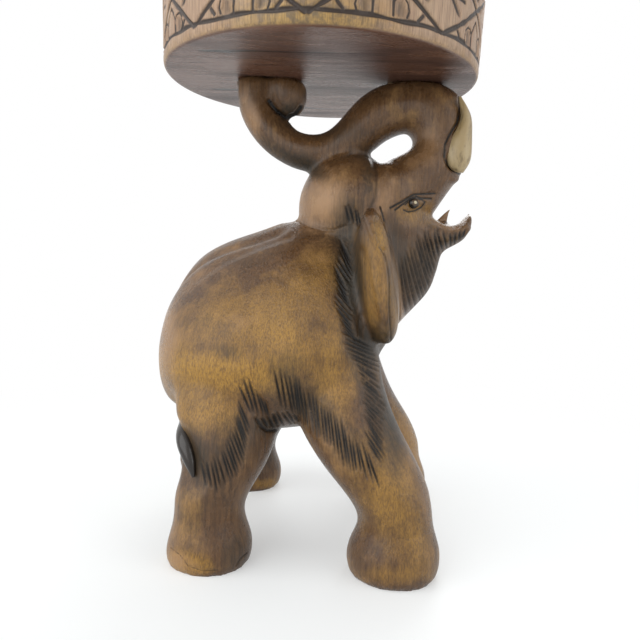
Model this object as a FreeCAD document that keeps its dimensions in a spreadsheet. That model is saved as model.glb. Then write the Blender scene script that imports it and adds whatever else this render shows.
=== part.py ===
import FreeCAD, Part
import math
import os

# Driving sizes in millimetres. The origin lies on the floor below the middle of the seat,
# +X points the way the animal looks and +Y to its left.
SIZES = (
    ("crown_height", 354, "floor to the top of the crown"),
    ("trunk_rise", 64, "top of the crown up to the underside of the seat"),
    ("seat_diameter", 285, "seat at its lower edge"),
    ("seat_thickness", 82, "height of the seat drum"),
    ("seat_flare", 3, "how far the top of the drum stands out past its lower edge"),
    ("seat_lower_round", 4, "worn rounding of the lower edge of the drum"),
    ("seat_upper_round", 9, "rounding of the sitting edge"),
    ("rump_reach", 137, "seat axis back to the rump"),
    ("chest_reach", 65, "seat axis forward to the chest"),
    ("belly_height", 97, "floor to the belly"),
    ("back_height", 290, "floor to the withers"),
    ("body_width", 228, "width of the barrel of the body"),
    ("foot_length", 71, "length of a foot along the animal"),
    ("foot_track", 194, "between the middles of a left and a right foot"),
    ("hind_foot_reach", 71, "seat axis back to the hind feet"),
    ("fore_foot_reach", 82, "seat axis forward to the right fore foot"),
    ("fore_stride", 8, "how far the left fore foot stands ahead of the right one"),
    ("dome_length", 96, "crown of the head, along the animal"),
    ("dome_width", 100, "crown of the head, across the animal"),
    ("dome_reach", 32, "seat axis forward to the middle of the crown"),
    ("head_width", 92, "width of the head at the eyes"),
    ("throat_reach", 118, "seat axis forward to the beard under the jaw"),
    ("jaw_reach", 145, "seat axis forward to the tip of the lower jaw"),
    ("jaw_thickness", 19, "thickness of the lower jaw near its tip"),
    ("tongue_length", 22, "tongue tip that stands up in the mouth, from its root inside the jaw"),
    ("tongue_width", 10, "width of the tongue tip at its root"),
    ("trunk_reach", 115, "seat axis forward to the middle of the root of the trunk"),
    ("trunk_diameter", 54, "thickness of the trunk at its root"),
    ("trunk_tip_reach", 61, "seat axis back to the middle of the tip of the trunk"),
    ("finger_diameter", 36, "thickness of the finger that curls at the tip of the trunk"),
    ("ear_length", 117, "height of an ear"),
    ("ear_thickness", 32, "thickness of an ear"),
    ("ear_span", 220, "from the rim of one ear to the rim of the other"),
    ("ear_reach", 60, "seat axis forward to the middle of the ears"),
    ("ear_height", 241, "floor to the middle of the ears"),
    ("tail_thickness", 19, "thickness of the tail"),
    ("tusk_length", 66, "length of a tusk along the face"),
    ("tusk_breadth", 24, "breadth of a tusk along the animal"),
    ("tusk_thickness", 17, "thickness of a tusk across the animal"),
    ("tusk_track", 46, "between the middles of the tusks"),
    ("tusk_peg_diameter", 6, "peg that holds a tusk"),
    ("tusk_peg_length", 18, "length of that peg from the middle of the tusk"),
    ("eye_diameter", 9, "bead of an eye"),
    ("dowel_diameter", 10, "dowel between trunk and seat"),
    ("dowel_length", 40, "length of a dowel"),
    ("dowel_end_gap", 1, "room for glue past each end of a dowel"),
    ("fit_gap", 0.1, "clearance round a dowel and a peg"),
    ("inlay_gap", 0.2, "clearance round a tusk and an eye"),
    ("cut_overrun", 20, "how far a cutting shape runs past what it cuts"),
)
DERIVED_SIZES = (
    ("elephant_height", "=crown_height + trunk_rise", "floor to the underside of the seat"),
)

doc = FreeCAD.newDocument("elephant_stool")
Vector = FreeCAD.Vector
Rotation = FreeCAD.Rotation
ALONG = Vector(1, 0, 0)
ACROSS = Vector(0, 1, 0)
UPWARD = Vector(0, 0, 1)
QUARTER_TURN = 90
RING_POINTS = 12

sheet = doc.addObject("Spreadsheet::Sheet", "Sizes")
for row, (alias, value, note) in enumerate(SIZES + DERIVED_SIZES, start=1):
    sheet.set(f"A{row}", note)
    sheet.set(f"B{row}", str(value))
    sheet.setAlias(f"B{row}", alias)
doc.recompute()
mm = {alias: float(sheet.get(alias)) for alias, _, _ in SIZES + DERIVED_SIZES}


def place(item, x="0", y="0", z="0", turn=Rotation()):
    """Turns an object and ties its place to the driving sizes."""
    item.Placement = FreeCAD.Placement(Vector(), turn)
    item.setExpression("Placement.Base.x", x)
    item.setExpression("Placement.Base.y", y)
    item.setExpression("Placement.Base.z", z)
    return item


def fuse(name, shapes):
    """One solid of overlapping shapes."""
    whole = doc.addObject("Part::MultiFuse", name)
    whole.Shapes = shapes
    return whole


def cut(name, base, tool):
    """A solid less a cutting shape."""
    rest = doc.addObject("Part::Cut", name)
    rest.Base = base
    rest.Tool = tool
    return rest


def cylinder(name, radius, length, x, y, z, turn=Rotation()):
    """A round bar from the middle of its lower end."""
    bar = doc.addObject("Part::Cylinder", name)
    bar.setExpression("Radius", radius)
    bar.setExpression("Height", length)
    return place(bar, x, y, z, turn)


def ring(middle, across, along, taper_share=0):
    """Points round an egg-shaped section. The taper narrows its far end."""
    points = []
    for step in range(RING_POINTS):
        angle = 2 * math.pi * step / RING_POINTS
        rise = math.sin(angle)
        points.append(middle + across * (math.cos(angle) * (1 - taper_share * rise)) + along * rise)
    return points


def limb(name, rings):
    """A smooth carved form through its sections, closed by a flat at each end."""
    hoops = []
    for points in rings:
        hoop = Part.BSplineCurve()
        hoop.interpolate(Points=points, PeriodicFlag=True, Parameters=list(range(RING_POINTS + 1)))
        hoops.append(hoop.getPoles())
    stations = [0.0]
    for before, after in zip(rings, rings[1:]):
        steps = [far.distanceToPoint(near) for near, far in zip(before, after)]
        stations.append(stations[-1] + sum(steps) / len(steps))
    strands = []
    for poles in zip(*hoops):
        strand = Part.BSplineCurve()
        strand.interpolate(Points=list(poles), Parameters=stations)
        strands.append(strand.getPoles())
    skin = Part.BSplineSurface()
    skin.buildFromPolesMultsKnots(strands, hoop.getMultiplicities(), strand.getMultiplicities(), hoop.getKnots(),
                                  strand.getKnots(), True, False, hoop.Degree, strand.Degree)
    side = skin.toShape()
    ends = [Part.Face(Part.Wire(edge)) for edge in side.Edges if edge.isClosed()]
    shell = Part.makeShell([side] + ends)
    shell.sewShape()
    solid = Part.makeSolid(shell)
    if solid.Volume < 0:
        solid.reverse()
    form = doc.addObject("Part::Feature", name)
    form.Shape = solid
    form.Placement = FreeCAD.Placement()
    return form


# Body in upright sections. Each row holds shares: place from rump to chest, middle height and half
# height between belly and back, half width in body widths, and how much narrower the back is.
BODY_SHARES = (
    (0.000, 0.350, 0.050, 0.06, 0.00),
    (0.020, 0.350, 0.200, 0.21, 0.05),
    (0.080, 0.378, 0.320, 0.33, 0.12),
    (0.180, 0.407, 0.409, 0.42, 0.20),
    (0.300, 0.436, 0.447, 0.47, 0.26),
    (0.450, 0.465, 0.478, 0.49, 0.30),
    (0.600, 0.500, 0.500, 0.49, 0.32),
    (0.750, 0.515, 0.485, 0.48, 0.30),
    (0.870, 0.515, 0.430, 0.44, 0.25),
    (0.950, 0.490, 0.330, 0.36, 0.15),
    (0.990, 0.470, 0.200, 0.24, 0.05),
    (1.000, 0.470, 0.060, 0.07, 0.00),
)


def body():
    """Barrel of the body, from the rump to the chest."""
    length = mm["rump_reach"] + mm["chest_reach"]
    depth = mm["back_height"] - mm["belly_height"]
    rings = []
    for place_share, middle_share, half_share, width_share, taper_share in BODY_SHARES:
        middle = ALONG * (length * place_share - mm["rump_reach"])
        middle += UPWARD * (mm["belly_height"] + depth * middle_share)
        rings.append(ring(middle, ACROSS * (mm["body_width"] * width_share),
                          UPWARD * (depth * half_share), taper_share))
    return limb("body", rings)


# Legs in level sections. Each row holds shares: height in belly heights, step forward, half length and
# half width in foot lengths, distance from the middle of the animal in foot tracks.
HIND_LEG_SHARES = (
    (0.00, 0.000, 0.470, 0.470, 0.500),
    (0.04, 0.000, 0.488, 0.485, 0.500),
    (0.13, 0.007, 0.500, 0.500, 0.500),
    (0.26, 0.014, 0.465, 0.470, 0.500),
    (0.42, -0.007, 0.412, 0.420, 0.495),
    (0.56, 0.005, 0.420, 0.430, 0.490),
    (0.76, 0.100, 0.465, 0.490, 0.470),
    (0.97, 0.140, 0.550, 0.560, 0.440),
    (1.25, 0.100, 0.640, 0.620, 0.390),
    (1.58, 0.080, 0.600, 0.620, 0.330),
    (1.90, 0.080, 0.420, 0.480, 0.280),
)
FORE_LEG_SHARES = (
    (0.00, 0.000, 0.490, 0.480, 0.505),
    (0.04, 0.000, 0.515, 0.500, 0.505),
    (0.13, 0.000, 0.535, 0.520, 0.505),
    (0.26, 0.005, 0.515, 0.500, 0.505),
    (0.43, 0.007, 0.435, 0.440, 0.500),
    (0.56, -0.030, 0.450, 0.460, 0.490),
    (0.76, -0.180, 0.530, 0.530, 0.465),
    (0.97, -0.380, 0.580, 0.580, 0.440),
    (1.18, -0.560, 0.590, 0.610, 0.410),
    (1.48, -0.700, 0.550, 0.600, 0.360),
    (1.86, -0.740, 0.480, 0.540, 0.300),
)


def leg(name, rows, reach, side, stride=0):
    """A leg from its flat sole up into the body, whose foot is set forward by the stride."""
    rings = []
    top_share = rows[-1][0]
    for height_share, step_share, length_share, width_share, track_share in rows:
        middle = ALONG * (reach + stride * (1 - height_share / top_share) + mm["foot_length"] * step_share)
        middle += ACROSS * (side * mm["foot_track"] * track_share)
        middle += UPWARD * (mm["belly_height"] * height_share)
        rings.append(ring(middle, ACROSS * (mm["foot_length"] * width_share),
                          ALONG * (mm["foot_length"] * length_share)))
    return limb(name, rings)


# Neck and head in level sections. Each row holds shares: height between belly and crown, middle and
# half length in throat reaches, half width in head widths, and how much narrower the front is.
HEAD_SHARES = (
    (0.300, 0.21, 0.400, 0.86, 0.05),
    (0.420, 0.295, 0.460, 0.72, 0.10),
    (0.515, 0.395, 0.530, 0.62, 0.22),
    (0.605, 0.465, 0.525, 0.56, 0.28),
    (0.675, 0.51, 0.490, 0.53, 0.25),
    (0.750, 0.52, 0.405, 0.51, 0.12),
    (0.840, 0.53, 0.390, 0.49, 0.05),
    (0.910, 0.57, 0.325, 0.43, 0.00),
    (0.960, 0.60, 0.165, 0.24, 0.00),
)


def head():
    """Neck, bearded throat, cheeks and brow."""
    height = mm["crown_height"] - mm["belly_height"]
    rings = []
    for height_share, middle_share, length_share, width_share, taper_share in HEAD_SHARES:
        middle = ALONG * (mm["throat_reach"] * middle_share)
        middle += UPWARD * (mm["belly_height"] + height * height_share)
        rings.append(ring(middle, ACROSS * (mm["head_width"] * width_share),
                          ALONG * (mm["throat_reach"] * length_share), taper_share))
    return limb("head", rings)


# Lower jaw in upright sections. Each row holds shares: place in jaw reaches, middle height in crown
# heights, half thickness in jaw thicknesses, half width in head widths.
JAW_SHARES = (
    (0.55, 0.765, 1.40, 0.42),
    (0.68, 0.783, 1.00, 0.37),
    (0.80, 0.788, 0.78, 0.30),
    (0.88, 0.793, 0.52, 0.25),
    (0.94, 0.806, 0.50, 0.22),
    (0.98, 0.826, 0.50, 0.18),
    (1.00, 0.840, 0.32, 0.12),
)


def jaw():
    """Lower jaw, which turns up at its tip."""
    rings = []
    for place_share, height_share, thickness_share, width_share in JAW_SHARES:
        middle = ALONG * (mm["jaw_reach"] * place_share) + UPWARD * (mm["crown_height"] * height_share)
        rings.append(ring(middle, ACROSS * (mm["head_width"] * width_share),
                          UPWARD * (mm["jaw_thickness"] * thickness_share)))
    return limb("jaw", rings)


# Trunk along its middle line, from the face to the tip. Each row holds shares: place in trunk reaches, or
# in tip reaches behind the seat's axis, height from the crown to the middle of the bend, half thickness
# and half width in trunk diameters. The last number is the lean of the section in degrees.
TRUNK_SHARES = (
    (0.652, -1.07, 0.660, 0.700, 48),
    (0.739, -0.72, 0.611, 0.685, 42),
    (0.843, -0.42, 0.546, 0.630, 32),
    (0.939, -0.14, 0.509, 0.574, 18),
    (0.996, 0.19, 0.500, 0.528, 2),
    (0.987, 0.51, 0.505, 0.519, -17),
    (0.939, 0.79, 0.515, 0.509, -37),
    (0.843, 0.98, 0.490, 0.490, -58),
    (0.713, 1.02, 0.456, 0.472, -80),
    (0.574, 0.94, 0.448, 0.463, -100),
    (0.443, 0.76, 0.436, 0.454, -114),
    (0.330, 0.47, 0.400, 0.435, -125),
    (0.226, 0.22, 0.361, 0.407, -122),
    (0.113, 0.05, 0.330, 0.370, -112),
    (-0.033, -0.02, 0.320, 0.361, -95),
    (-0.279, 0.02, 0.311, 0.352, -78),
    (-0.508, 0.16, 0.300, 0.343, -62),
    (-0.705, 0.36, 0.296, 0.343, -50),
    (-0.869, 0.63, 0.296, 0.343, -35),
    (-0.967, 0.93, 0.302, 0.348, -18),
    (-1.000, 1.26, 0.306, 0.352, -4),
    (-1.008, 1.80, 0.306, 0.352, 0),
)
BITE_SHARE = 0.39


def trunk():
    """Trunk from the face, over its bend and down across the crown to the raised tip."""
    bend_height = mm["elephant_height"] - mm["trunk_diameter"] * BITE_SHARE
    rings = []
    for place_share, height_share, half_share, width_share, lean in TRUNK_SHARES:
        reach = mm["trunk_reach"] if place_share > 0 else mm["trunk_tip_reach"]
        height = mm["crown_height"] + (bend_height - mm["crown_height"]) * height_share
        rings.append(ring(ALONG * (reach * place_share) + UPWARD * height,
                          ACROSS * (mm["trunk_diameter"] * width_share),
                          Rotation(ACROSS, lean).multVec(ALONG) * (mm["trunk_diameter"] * half_share)))
    return limb("trunk", rings)


# Ears in sections that stand along the animal. Each row holds shares: distance from the middle in ear
# spans, half height in ear lengths, half thickness in ear thicknesses, step back in ear thicknesses.
EAR_SHARES = (
    (0.14, 0.36, 0.56, 0.10),
    (0.27, 0.45, 0.54, 0.05),
    (0.37, 0.49, 0.51, 0.00),
    (0.44, 0.47, 0.43, 0.00),
    (0.48, 0.39, 0.27, 0.00),
    (0.50, 0.25, 0.09, 0.00),
)
EAR_LEAN = 10
EAR_TAPER_SHARE = 0.12


def ear(name, side):
    """An ear that stands out sideways from the head and leans back at its top."""
    lean = Rotation(ACROSS, -EAR_LEAN)
    rings = []
    for span_share, length_share, thickness_share, step_share in EAR_SHARES:
        middle = ALONG * (mm["ear_reach"] - mm["ear_thickness"] * step_share)
        middle += ACROSS * (side * mm["ear_span"] * span_share) + UPWARD * mm["ear_height"]
        rings.append(ring(middle, lean.multVec(ALONG) * (mm["ear_thickness"] * thickness_share),
                          lean.multVec(UPWARD) * (mm["ear_length"] * length_share), EAR_TAPER_SHARE))
    return limb(name, rings)


# Tail along its middle line, down the back of the right hind leg. Each row holds shares: place in rump
# reaches, distance to the right in foot tracks, height in belly heights, half thickness in tail
# thicknesses.
TAIL_SHARES = (
    (0.730, 0.270, 1.36, 0.42),
    (0.745, 0.325, 1.17, 0.47),
    (0.745, 0.371, 1.02, 0.49),
    (0.722, 0.405, 0.92, 0.46),
    (0.696, 0.428, 0.83, 0.42),
    (0.668, 0.445, 0.74, 0.33),
    (0.640, 0.459, 0.645, 0.14),
)


def tail():
    """Tail that lies against the right hind leg."""
    middles = []
    for reach_share, track_share, height_share, _ in TAIL_SHARES:
        middles.append(ALONG * (-mm["rump_reach"] * reach_share) - ACROSS * (mm["foot_track"] * track_share)
                       + UPWARD * (mm["belly_height"] * height_share))
    rings = []
    for number, (middle, row) in enumerate(zip(middles, TAIL_SHARES)):
        half = mm["tail_thickness"] * row[3]
        ahead = middles[min(number + 1, len(middles) - 1)] - middles[max(number - 1, 0)]
        outward = ahead.cross(ACROSS).normalize()
        sideways = ahead.cross(outward).normalize()
        rings.append(ring(middle, sideways * half, outward * half))
    return limb("tail", rings)


# Tusk along its middle line, from its root at the lip to its tip. Each row holds shares: height along
# the tusk, step forward and half breadth in tusk breadths, half thickness in tusk thicknesses.
TUSK_SHARES = (
    (0.00, 0.10, 0.09, 0.14),
    (0.04, 0.01, 0.25, 0.32),
    (0.13, -0.02, 0.41, 0.46),
    (0.26, -0.02, 0.47, 0.50),
    (0.43, 0.03, 0.41, 0.48),
    (0.59, 0.14, 0.28, 0.43),
    (0.75, 0.16, 0.19, 0.34),
    (0.89, 0.04, 0.12, 0.22),
    (1.00, -0.09, 0.05, 0.08),
)
TUSK_PLACE_SHARE = 1.11
TUSK_ROOT_SHARE = 0.950
TUSK_PEG_SHARE = 0.35


def tusk(name, side, gap):
    """A curved tusk, or the pocket for one with a gap round it."""
    rings = []
    for height_share, step_share, breadth_share, thickness_share in TUSK_SHARES:
        middle = ALONG * (mm["trunk_reach"] * TUSK_PLACE_SHARE + mm["tusk_breadth"] * step_share)
        middle += ACROSS * (side * mm["tusk_track"] / 2)
        middle += UPWARD * (mm["crown_height"] * TUSK_ROOT_SHARE + mm["tusk_length"] * height_share)
        if height_share in (0, 1):
            middle += UPWARD * (gap * (2 * height_share - 1))
        rings.append(ring(middle, ACROSS * (mm["tusk_thickness"] * thickness_share + gap),
                          ALONG * (mm["tusk_breadth"] * breadth_share + gap)))
    return limb(name, rings)


def tusk_peg(name, side, gap):
    """The peg of a tusk, which runs back into the root of the trunk."""
    return cylinder(name, f"Sizes.tusk_peg_diameter / 2 + {gap}", f"Sizes.tusk_peg_length + {gap}",
                    f"Sizes.trunk_reach * {TUSK_PLACE_SHARE}",
                    f"Sizes.tusk_track / 2 * {side}",
                    f"Sizes.crown_height * {TUSK_ROOT_SHARE} + Sizes.tusk_length * {TUSK_PEG_SHARE}",
                    Rotation(ACROSS, -QUARTER_TURN))


EYE_REACH_SHARE = 0.75
EYE_HEIGHT_SHARE = 0.865
EYE_DEPTH_SHARE = 0.405


def eye(name, side, gap):
    """The bead of an eye, or the pocket for one with a gap round it."""
    bead = doc.addObject("Part::Sphere", name)
    bead.setExpression("Radius", f"Sizes.eye_diameter / 2 + {gap}")
    return place(bead, f"Sizes.throat_reach * {EYE_REACH_SHARE}",
                 f"Sizes.head_width * {EYE_DEPTH_SHARE * side}",
                 f"Sizes.crown_height * {EYE_HEIGHT_SHARE}")


# Dowels: name, the size that places each one, and its share.
DOWEL_SHARES = (
    ("seat_dowel_front", "Sizes.trunk_reach", 0.88),
    ("seat_dowel_middle", "Sizes.trunk_reach", 0.58),
    ("seat_dowel_rear", "Sizes.trunk_tip_reach", -1.0),
)


def dowel(name, reach, reach_share, gap, end_gap):
    """A dowel, or its hole in trunk and seat with room round it and past its ends."""
    return cylinder(name, f"Sizes.dowel_diameter / 2 + {gap}", f"Sizes.dowel_length + 2 * {end_gap}",
                    f"{reach} * {reach_share}", "0",
                    f"Sizes.elephant_height - Sizes.dowel_length / 2 - {end_gap}")


CROWN_RISE_SHARE = 0.54


def crown():
    """Domed crown of the head."""
    dome = doc.addObject("Part::Ellipsoid", "crown")
    dome.Angle1 = -QUARTER_TURN
    dome.Angle2 = QUARTER_TURN
    dome.setExpression("Radius2", "Sizes.dome_length / 2")
    dome.setExpression("Radius3", "Sizes.dome_width / 2")
    dome.setExpression("Radius1", f"Sizes.dome_length * {CROWN_RISE_SHARE}")
    return place(dome, "Sizes.dome_reach", "0", f"Sizes.crown_height - Sizes.dome_length * {CROWN_RISE_SHARE}")


FINGER_RISE_SHARE = 0.75
FINGER_PLACE_SHARE = 0.52
FINGER_DROP_SHARE = 0.2
FINGER_LEAN = 20


def finger():
    """Finger of the trunk's tip, which curls over towards the crown."""
    lobe = doc.addObject("Part::Ellipsoid", "finger")
    lobe.Angle1 = -QUARTER_TURN
    lobe.Angle2 = QUARTER_TURN
    lobe.setExpression("Radius2", "Sizes.finger_diameter / 2")
    lobe.setExpression("Radius3", "Sizes.finger_diameter / 2")
    lobe.setExpression("Radius1", f"Sizes.finger_diameter * {FINGER_RISE_SHARE}")
    return place(lobe, f"-Sizes.trunk_tip_reach * {FINGER_PLACE_SHARE}", "0",
                 f"Sizes.elephant_height - Sizes.finger_diameter * {FINGER_DROP_SHARE}",
                 Rotation(ACROSS, -FINGER_LEAN))


TONGUE_PLACE_SHARE = 0.81
TONGUE_ROOT_SHARE = 0.8
TONGUE_LEAN = 15


def tongue():
    """Tip of the tongue in the open mouth."""
    tip = doc.addObject("Part::Cone", "tongue")
    tip.setExpression("Radius1", "Sizes.tongue_width / 2")
    tip.Radius2 = 0
    tip.setExpression("Height", "Sizes.tongue_length")
    return place(tip, f"Sizes.jaw_reach * {TONGUE_PLACE_SHARE}", "0",
                 f"Sizes.crown_height * {TONGUE_ROOT_SHARE}", Rotation(ACROSS, TONGUE_LEAN))


def elephant():
    """The carved animal with its flats under the seat and the pockets for what is let into it."""
    forms = [body(), head(), crown(), jaw(), tongue(), trunk(), finger(), tail()]
    for side, word in ((-1, "right"), (1, "left")):
        stride = mm["fore_stride"] if side > 0 else 0
        forms.append(leg(f"hind_leg_{word}", HIND_LEG_SHARES, -mm["hind_foot_reach"], side))
        forms.append(leg(f"fore_leg_{word}", FORE_LEG_SHARES, mm["fore_foot_reach"], side, stride))
        forms.append(ear(f"ear_{word}", side))
    carved = fuse("carved_forms", forms)
    above = doc.addObject("Part::Box", "above_the_flats")
    above.setExpression("Length", "Sizes.seat_diameter")
    above.setExpression("Width", "Sizes.seat_diameter")
    above.setExpression("Height", "Sizes.trunk_diameter + Sizes.cut_overrun")
    place(above, "-Sizes.seat_diameter / 2", "-Sizes.seat_diameter / 2", "Sizes.elephant_height")
    pockets = [above]
    for side, word in ((-1, "right"), (1, "left")):
        pockets.append(tusk(f"tusk_pocket_{word}", side, mm["inlay_gap"]))
        pockets.append(tusk_peg(f"tusk_peg_hole_{word}", side, "Sizes.fit_gap"))
        pockets.append(eye(f"eye_pocket_{word}", side, "Sizes.inlay_gap"))
    pockets += dowel_holes("trunk")
    return cut("elephant", carved, fuse("elephant_pockets", pockets))


def dowel_holes(where):
    """The holes for the dowels in one of the two pieces that they join."""
    return [dowel(f"{name}_hole_in_{where}", reach, reach_share, "Sizes.fit_gap", "Sizes.dowel_end_gap")
            for name, reach, reach_share in DOWEL_SHARES]


def seat():
    """Turned drum that widens a little upwards, with both edges rounded and holes for the dowels."""
    drum = doc.addObject("PartDesign::Body", "seat_drum")
    blank = drum.newObject("PartDesign::AdditiveCone", "seat_blank")
    blank.setExpression("Radius1", "Sizes.seat_diameter / 2")
    blank.setExpression("Radius2", "Sizes.seat_diameter / 2 + Sizes.seat_flare")
    blank.setExpression("Height", "Sizes.seat_thickness")
    doc.recompute()
    edges = {}
    for number, edge in enumerate(blank.Shape.Edges, start=1):
        if len(edge.Vertexes) == 1:
            edges[edge.BoundBox.ZMax > mm["seat_thickness"] / 2] = f"Edge{number}"
    lower = drum.newObject("PartDesign::Fillet", "seat_lower_edge")
    lower.Base = (blank, [edges[False]])
    lower.setExpression("Radius", "Sizes.seat_lower_round")
    doc.recompute()
    for number, edge in enumerate(lower.Shape.Edges, start=1):
        circle = edge.Curve
        if isinstance(circle, Part.Circle) and abs(circle.Center.z - mm["seat_thickness"]) < mm["fit_gap"]:
            rim = f"Edge{number}"
    upper = drum.newObject("PartDesign::Fillet", "seat_upper_edge")
    upper.Base = (lower, [rim])
    upper.setExpression("Radius", "Sizes.seat_upper_round")
    place(drum, "0", "0", "Sizes.elephant_height")
    return cut("seat", drum, fuse("seat_holes", dowel_holes("seat")))


pieces = [elephant(), seat()]
for side, word in ((-1, "right"), (1, "left")):
    horn = tusk(f"tusk_horn_{word}", side, 0)
    pieces.append(fuse(f"tusk_{word}", [horn, tusk_peg(f"tusk_peg_{word}", side, "0")]))
    pieces.append(eye(f"eye_{word}", side, "0"))
for name, reach, reach_share in DOWEL_SHARES:
    pieces.append(dowel(name, reach, reach_share, "0", "0"))
doc.recompute()

for item in doc.Objects:
    if "Invalid" in item.State or "Error" in item.State:
        raise RuntimeError(f"{item.Name} failed: {item.State}")
os.makedirs("parts", exist_ok=True)
for piece in pieces:
    if piece.Shape.isNull() or not piece.Shape.isValid():
        raise RuntimeError(f"{piece.Label} has no sound shape")
for piece in pieces:
    piece.Shape.exportStep(f"parts/{piece.Label}.step")
    box = piece.Shape.BoundBox
    corners = [round(value, 1) for value in (box.XMin, box.XMax, box.YMin, box.YMax, box.ZMin, box.ZMax)]
    print(piece.Label, "solids", len(piece.Shape.Solids), "volume", round(piece.Shape.Volume), "box", corners)
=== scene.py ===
import math

import bpy
import numpy as np
from mathutils import Matrix, Vector


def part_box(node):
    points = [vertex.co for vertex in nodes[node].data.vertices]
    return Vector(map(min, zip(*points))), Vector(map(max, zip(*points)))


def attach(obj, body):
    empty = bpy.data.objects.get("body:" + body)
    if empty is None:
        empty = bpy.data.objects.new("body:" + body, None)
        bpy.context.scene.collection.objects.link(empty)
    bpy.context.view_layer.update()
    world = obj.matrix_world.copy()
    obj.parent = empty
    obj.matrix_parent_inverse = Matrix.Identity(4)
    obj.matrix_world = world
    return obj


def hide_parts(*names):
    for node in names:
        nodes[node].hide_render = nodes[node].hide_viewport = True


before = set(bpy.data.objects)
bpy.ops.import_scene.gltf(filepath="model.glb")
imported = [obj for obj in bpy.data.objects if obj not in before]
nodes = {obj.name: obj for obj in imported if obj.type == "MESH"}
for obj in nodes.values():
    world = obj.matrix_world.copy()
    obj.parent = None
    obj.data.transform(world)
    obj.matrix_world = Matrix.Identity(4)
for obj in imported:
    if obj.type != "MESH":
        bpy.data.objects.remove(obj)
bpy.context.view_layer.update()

scene = bpy.context.scene


# The camera stands close, at the height of the belly, and sees the right side of the animal.
# The frame is square and as wide as the lens is long, so one pixel is one part in 640 of the distance.
FRAME_PIXELS = 640
CAMERA_PLACE = (0.04553, -0.60970, 0.24727)
CAMERA_HEADING = 3.50
CAMERA_PITCH = -4.72
CAMERA_ROLL = 2.35
SENSOR_WIDTH = 36.0

camera_data = bpy.data.cameras.new("camera")
camera_data.sensor_width = SENSOR_WIDTH
camera_data.lens = SENSOR_WIDTH
camera_data.clip_start = 0.01
camera = bpy.data.objects.new("camera", camera_data)
scene.collection.objects.link(camera)
camera_turn = (Matrix.Rotation(math.radians(CAMERA_HEADING), 4, "Z")
               @ Matrix.Rotation(math.radians(90 + CAMERA_PITCH), 4, "X")
               @ Matrix.Rotation(math.radians(CAMERA_ROLL), 4, "Z"))
camera.matrix_world = Matrix.Translation(CAMERA_PLACE) @ camera_turn
scene.camera = camera


# The elephant: one block of wood with upright grain, carved all over, stained brown and lacquered.
# Its rough form follows the block below the seat; hair, brows and cracks are cut in with a V-gouge, in
# the places where they show in the photograph, and the same on the side that it hides.
FORM_VOXEL = 0.0034
FORM_SMOOTHING = 3
BLEND_SMOOTHING = 30
TRIANGLE_LIMIT = 196000
PEG_PLUG_RADIUS = 0.0050
PEG_PLUG_LENGTH = 0.0190
PEG_PLUG_OVERLAP = 0.0015
SEAT_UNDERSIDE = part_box("seat")[0].z
SOLE_HEIGHT = 0.0006
SEAT_CONTACT = 0.0008
HAIR_SPACING = 5.2
HAIR_HALF_WIDTH = 2.0
HAIR_DEPTH = 0.0020
HAIR_STRAY = 0.5
HAIR_START_SHIFT = (-0.05, 0.12)
HAIR_END_SHIFT = (-0.08, 0.10)
HAIR_WIDTH_RANGE = (0.85, 1.15)

# How squarely a point has to face the camera before a mark that is read from the photograph reaches it.
HAIR_FACING = (0.02, 0.18)
CUT_FACING = (0.02, 0.15)
MODELLED_FACING = (0.0, 0.30)

# The ridge along the spine with a hollow on both sides of it, and the hollow fronts of the ears.
BACK_HEIGHTS = (0.195, 0.225)
BACK_FRONT_END = (0.016, 0.034)
BACK_REAR_END = (-0.145, -0.115)
SPINE_RIDGE = 0.0024
SPINE_RIDGE_WIDTH = 0.011
SPINE_HOLLOW = 0.0044
SPINE_HOLLOW_OFFSET = 0.030
SPINE_HOLLOW_WIDTH = 0.009
EAR_REACH = (0.045, 0.092)
EAR_HOLLOW = 0.0045
EAR_HOLLOW_OFFSET = 0.088
EAR_HOLLOW_WIDTH = 0.014
EAR_HOLLOW_MIDDLE = 0.243
EAR_HOLLOW_LENGTH = 0.036
KNIFE_MARK = 0.00013

# Rows of hair strokes. Each key stroke is its root and its tip in pixels; the row runs from key to key.
HAIR_ROWS = {
    "thigh": ((239, 402, 250, 430), (236, 421, 246, 451), (231, 431, 243, 462), (223, 450, 233, 480),
              (211, 461, 218, 492), (202, 461, 206, 486)),
    "groin": ((264, 401, 269, 416), (255, 388, 262, 413), (245, 379, 256, 416), (239, 387, 250, 412)),
    "belly": ((274, 369, 282, 407), (281, 367, 290, 410), (291, 375, 296, 412), (299, 383, 305, 427),
              (312, 395, 317, 435), (325, 408, 328, 445), (339, 419, 346, 467), (352, 441, 355, 471),
              (366, 447, 379, 485)),
    "under_belly": ((258, 420, 263, 428), (270, 415, 275, 427), (283, 411, 293, 425),
                    (293, 414, 299, 422)),
    "shoulder": ((344, 333, 370, 347), (347, 345, 377, 358), (351, 356, 378, 369), (356, 364, 377, 377),
                 (361, 376, 379, 392), (363, 388, 384, 406), (365, 401, 383, 418), (366, 417, 384, 445),
                 (367, 431, 384, 457), (366, 439, 383, 466)),
    "mane": ((342, 240, 352, 264), (340, 251, 352, 274), (336, 260, 349, 280), (334, 268, 345, 287),
             (338, 290, 352, 308), (336, 299, 351, 318), (337, 309, 353, 329), (344, 328, 358, 343)),
    "nape": ((346, 205, 350, 224), (353, 207, 357, 226), (358, 212, 361, 231)),
    "beard": ((399, 264, 406, 314), (405, 256, 418, 303), (412, 248, 425, 296), (419, 243, 430, 283),
              (425, 234, 434, 266), (431, 231, 437, 260), (440, 230, 444, 250), (447, 232, 449, 247),
              (456, 233, 454, 244), (465, 229, 463, 238)),
}

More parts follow.
